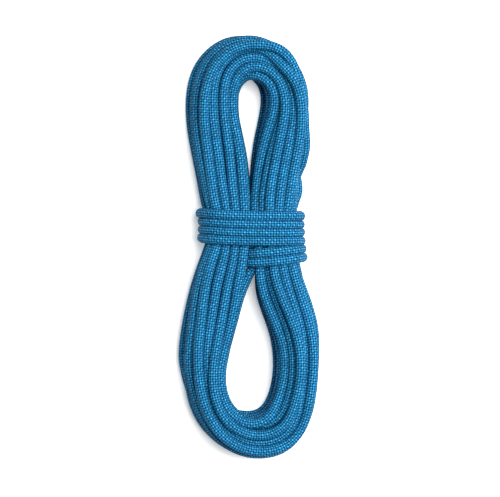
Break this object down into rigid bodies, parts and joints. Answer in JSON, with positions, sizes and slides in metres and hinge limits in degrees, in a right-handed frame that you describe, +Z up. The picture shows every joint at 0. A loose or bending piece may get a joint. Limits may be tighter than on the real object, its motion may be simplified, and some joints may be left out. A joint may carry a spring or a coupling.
{
  "type": "dynamic climbing rope",
  "caption": "Braided kernmantle climbing rope wound into a flat, two-lobed hank and tied at the waist with its own wraps.",
  "frame": {"origin": "middle of the hank's footprint, on the surface that it lies on", "axes": "+Y along the hank towards the smaller loop, +X across it, +Z up from the surface"},
  "size_m": [0.1333, 0.404, 0.0594],
  "materials": {
    "sheath": "two-tone braided polyamide",
    "core_yarn": "white twisted polyamide",
    "marker_yarn": "coloured yarn",
    "end_sleeve": "shrunk plastic film",
    "fused_tip": "melted and pressed polyamide"
  },
  "bodies": {
    "root": {"finish_core_strand_1": "core_yarn", "finish_core_strand_10": "core_yarn", "finish_core_strand_11": "core_yarn", "finish_core_strand_12": "core_yarn", "finish_core_strand_2": "core_yarn", "finish_core_strand_3": "core_yarn", "finish_core_strand_4": "core_yarn", "finish_core_strand_5": "core_yarn", "finish_core_strand_6": "core_yarn", "finish_core_strand_7": "core_yarn", "finish_core_strand_8": "core_yarn", "finish_core_strand_9": "core_yarn", "finish_end_sheath": "sheath", "finish_end_sleeve": "end_sleeve", "finish_fused_tip": "fused_tip", "finish_marker_thread": "marker_yarn", "hank": "sheath", "start_core_strand_1": "core_yarn", "start_core_strand_10": "core_yarn", "start_core_strand_11": "core_yarn", "start_core_strand_12": "core_yarn", "start_core_strand_2": "core_yarn", "start_core_strand_3": "core_yarn", "start_core_strand_4": "core_yarn", "start_core_strand_5": "core_yarn", "start_core_strand_6": "core_yarn", "start_core_strand_7": "core_yarn", "start_core_strand_8": "core_yarn", "start_core_strand_9": "core_yarn", "start_end_sheath": "sheath", "start_end_sleeve": "end_sleeve", "start_fused_tip": "fused_tip", "start_marker_thread": "marker_yarn", "wrap_turn_1": "sheath", "wrap_turn_2": "sheath", "wrap_turn_3": "sheath", "wrap_turn_4": "sheath", "wrap_turn_5": "sheath", "wrap_turn_6": "sheath"}
  },
  "joints": []
}
